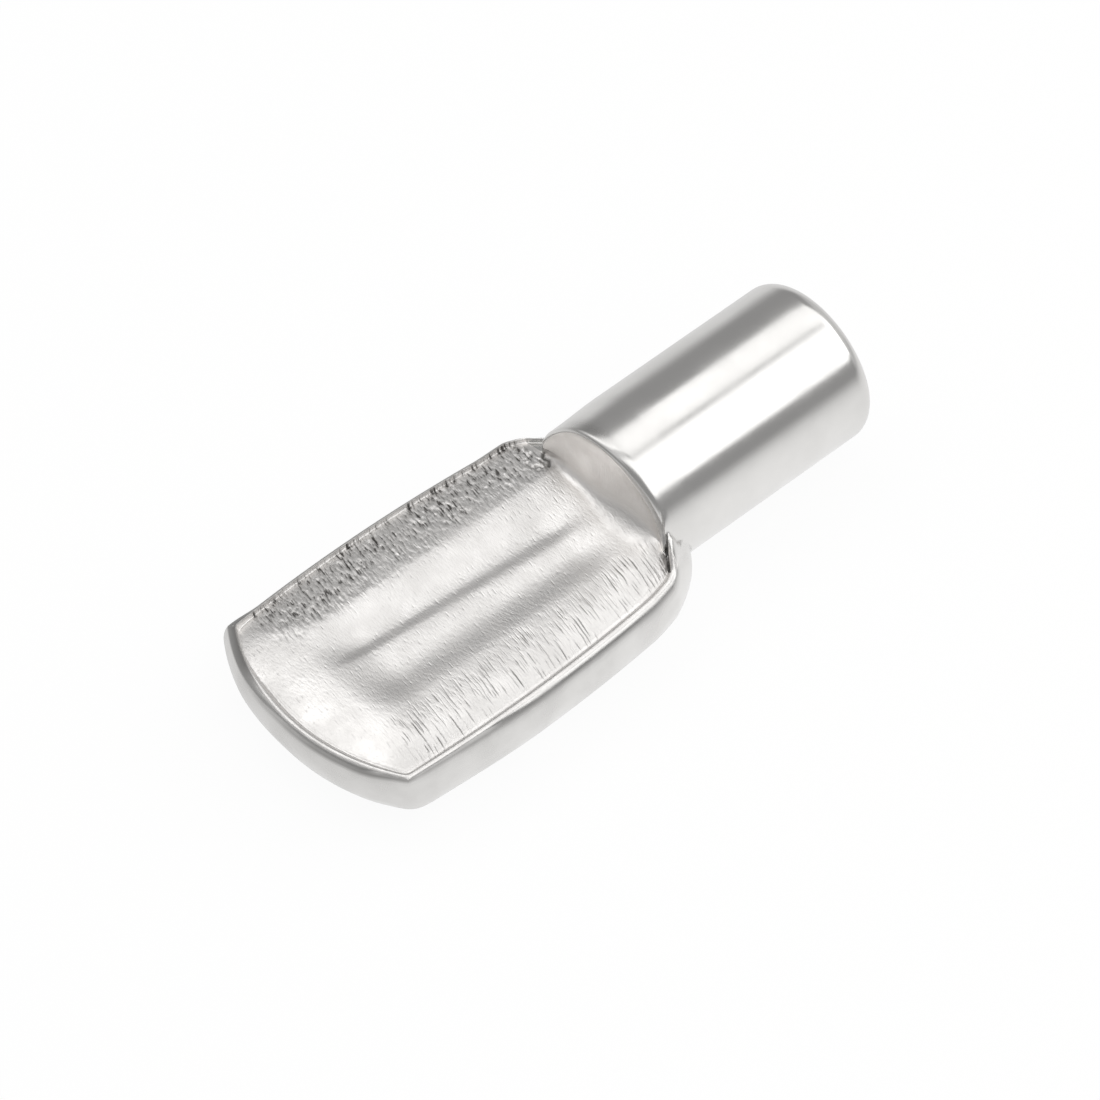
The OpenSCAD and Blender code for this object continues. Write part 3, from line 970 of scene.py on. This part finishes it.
def finishPin(blankPin):
    tree = makePressMarks()
    blankPin.data.materials.append(materials[zoneFinish[faceZone]])
    modifier = blankPin.modifiers.new("pressMarks", "NODES")
    modifier.node_group = tree
    for item in tree.interface.items_tree:
        if item.in_out == "INPUT" and item.name in marks:
            modifier[item.identifier] = marks[item.name]
    shaped = blankPin.evaluated_get(bpy.context.evaluated_depsgraph_get())
    mesh = bpy.data.meshes.new_from_object(shaped)
    mesh.name = "shelfPin"
    blankPin.modifiers.remove(modifier)
    bpy.data.objects.remove(blankPin)
    return addObject("shelfPin", mesh)


shelfPin = finishPin(body)
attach(shelfPin, "root")
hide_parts("shelf_pin")
print("shelf pin:", len(shelfPin.data.polygons), "faces,", len(shelfPin.data.materials), "materials")

# camera, from the picture's 1100 x 1100 frame
shot = {
    "azimuth": -38.2597, "elevation": 49.6269, "roll": -4.0, "distance": 180.0,
    "aim": (-5.0063, -2.0559, 2.6792), "lens": 219.46, "sensor": 36, "clipStart": 10,
}


def makeCamera():
    a, e, r = (math.radians(shot[k]) for k in ("azimuth", "elevation", "roll"))
    back = Vector((math.sin(a) * math.cos(e), -math.cos(a) * math.cos(e), math.sin(e)))
    right = Vector((math.cos(a), math.sin(a), 0))
    up = back.cross(right)
    turned = right * math.cos(r) + up * math.sin(r)
    up = up * math.cos(r) - right * math.sin(r)
    eye = (Vector(shot["aim"]) + back * shot["distance"]) * mm
    data = bpy.data.cameras.new("camera")
    data.lens, data.sensor_width, data.clip_start = shot["lens"], shot["sensor"], shot["clipStart"] * mm
    cam = addObject("camera", data)
    cam.matrix_world = Matrix.Translation(eye) @ Matrix((turned, up, back)).transposed().to_4x4()
    scene.camera = cam


makeCamera()

# white table and soft studio light; places and sizes in mm, levels as radiance
studio = {
    "topBox": {"at": (192, 75, 300), "look": (192, 75, 0), "size": (845, 213), "turn": -21.5, "level": 1.03,
               "colour": (1, 0.998, 0.994)},
    "frontBox": {"at": (235, -186, 235.5), "look": (235, 0, 0), "size": (750, 318), "turn": 0, "level": 1.2,
                 "colour": (1, 1, 1)},
    "roomLevel": 0.312, "backGlow": 0.576, "backSpan": (2.0, 17.0),
    "sideGlow": 0.76, "sideSpan": (0.28, 0.08), "sideRise": (0.26, 0.55), "frontSpan": (95.0, 110.0),
    "endGlow": 0.62, "endSpan": (0.70, 0.90),
    "tableSize": 4000, "tableColour": (0.93, 0.93, 0.925, 1), "cameraWhite": 0.93,
    # how bright the table looks in the pin, in front and behind, near to it and far off
    "mirrorNear": (1.0, 0.80), "mirrorFar": (0.42, 0.72), "mirrorReach": 24.0, "mirrorTurn": (-4.0, 4.0),
}


def areaLamp(name):
    box = studio[name]
    data = bpy.data.lights.new(name, "AREA")
    data.shape, data.size, data.size_y = "RECTANGLE", box["size"][0] * mm, box["size"][1] * mm
    data.color = box["colour"]
    data.energy = box["level"] * math.pi * data.size * data.size_y
    lamp = addObject(name, data)
    at, look = Vector(box["at"]) * mm, Vector(box["look"]) * mm
    back = (at - look).normalized()
    side = Vector((math.cos(math.radians(box["turn"])), math.sin(math.radians(box["turn"])), 0))
    up = back.cross(side).normalized()
    side = up.cross(back)
    lamp.matrix_world = Matrix.Translation(at) @ Matrix((side, up, back)).transposed().to_4x4()
    lamp.visible_camera = False


def makeRoom():  # dim room, with a pale wall low behind and pale sides beyond the tip and the peg
    world = bpy.data.worlds.new("studioRoom")
    scene.world = world
    world.use_nodes = True
    tree = world.node_tree
    tree.nodes.clear()
    way = addNode(tree, "ShaderNodeTexCoord").outputs["Generated"]
    x, y, z = parted(tree, way)
    lift = calc(tree, "DEGREES", calc(tree, "ARCTAN2", z, y))  # up from the horizon behind, over the top
    beside = product(
        tree, ramp(tree, x, *studio["sideSpan"]), ramp(tree, lift, *studio["frontSpan"], 1.0, 0.0),
        ramp(tree, z, *studio["sideRise"]))
    room = mixValue(tree, beside, studio["roomLevel"], studio["sideGlow"])
    room = mixValue(tree, ramp(tree, x, *studio["endSpan"]), room, studio["endGlow"])
    room = mixValue(tree, ramp(tree, lift, *studio["backSpan"]), studio["backGlow"], room)
    path = addNode(tree, "ShaderNodeLightPath")
    level = mixValue(tree, path.outputs["Is Camera Ray"], room, 1.0)
    glow = addNode(tree, "ShaderNodeBackground", {"Color": (1, 1, 1, 1), "Strength": level})
    tree.links.new(glow.outputs[0], addNode(tree, "ShaderNodeOutputWorld").inputs["Surface"])


def makeTable():
    size, floor = studio["tableSize"] * mm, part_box("shelf_pin")[0].z
    bpy.ops.mesh.primitive_plane_add(size=size, location=(0, 0, floor))
    table = bpy.context.object
    table.name = "table"
    mat = bpy.data.materials.new("whiteTable")
    mat.use_nodes = True
    tree = mat.node_tree
    tree.nodes.clear()
    place = objectPlace(tree)
    near = calc(tree, "DIVIDE", vectorMath(tree, "LENGTH", place).outputs["Value"], studio["mirrorReach"])
    near = calc(tree, "DIVIDE", 1.0, scaled(tree, near, near, 1.0))
    y = parted(tree, place)["Y"]
    far, close = (
        ramp(tree, y, *studio["mirrorTurn"], *studio[name]) for name in ("mirrorFar", "mirrorNear"))
    path = addNode(tree, "ShaderNodeLightPath").outputs
    level = mixValue(tree, path["Is Glossy Ray"], 1.0, mixValue(tree, near, far, close))
    share = scaled(tree, path["Is Camera Ray"], studio["cameraWhite"], path["Is Glossy Ray"])
    paper = addNode(tree, "ShaderNodeBsdfDiffuse", {"Color": studio["tableColour"]})
    white = addNode(tree, "ShaderNodeEmission", {"Strength": level})
    mix = addNode(tree, "ShaderNodeMixShader", {0: share, 1: paper.outputs[0], 2: white.outputs[0]})
    tree.links.new(mix.outputs[0], addNode(tree, "ShaderNodeOutputMaterial").inputs["Surface"])
    table.data.materials.append(mat)


areaLamp("topBox")
areaLamp("frontBox")
makeRoom()
makeTable()
print("studio: two soft boxes, room and table")
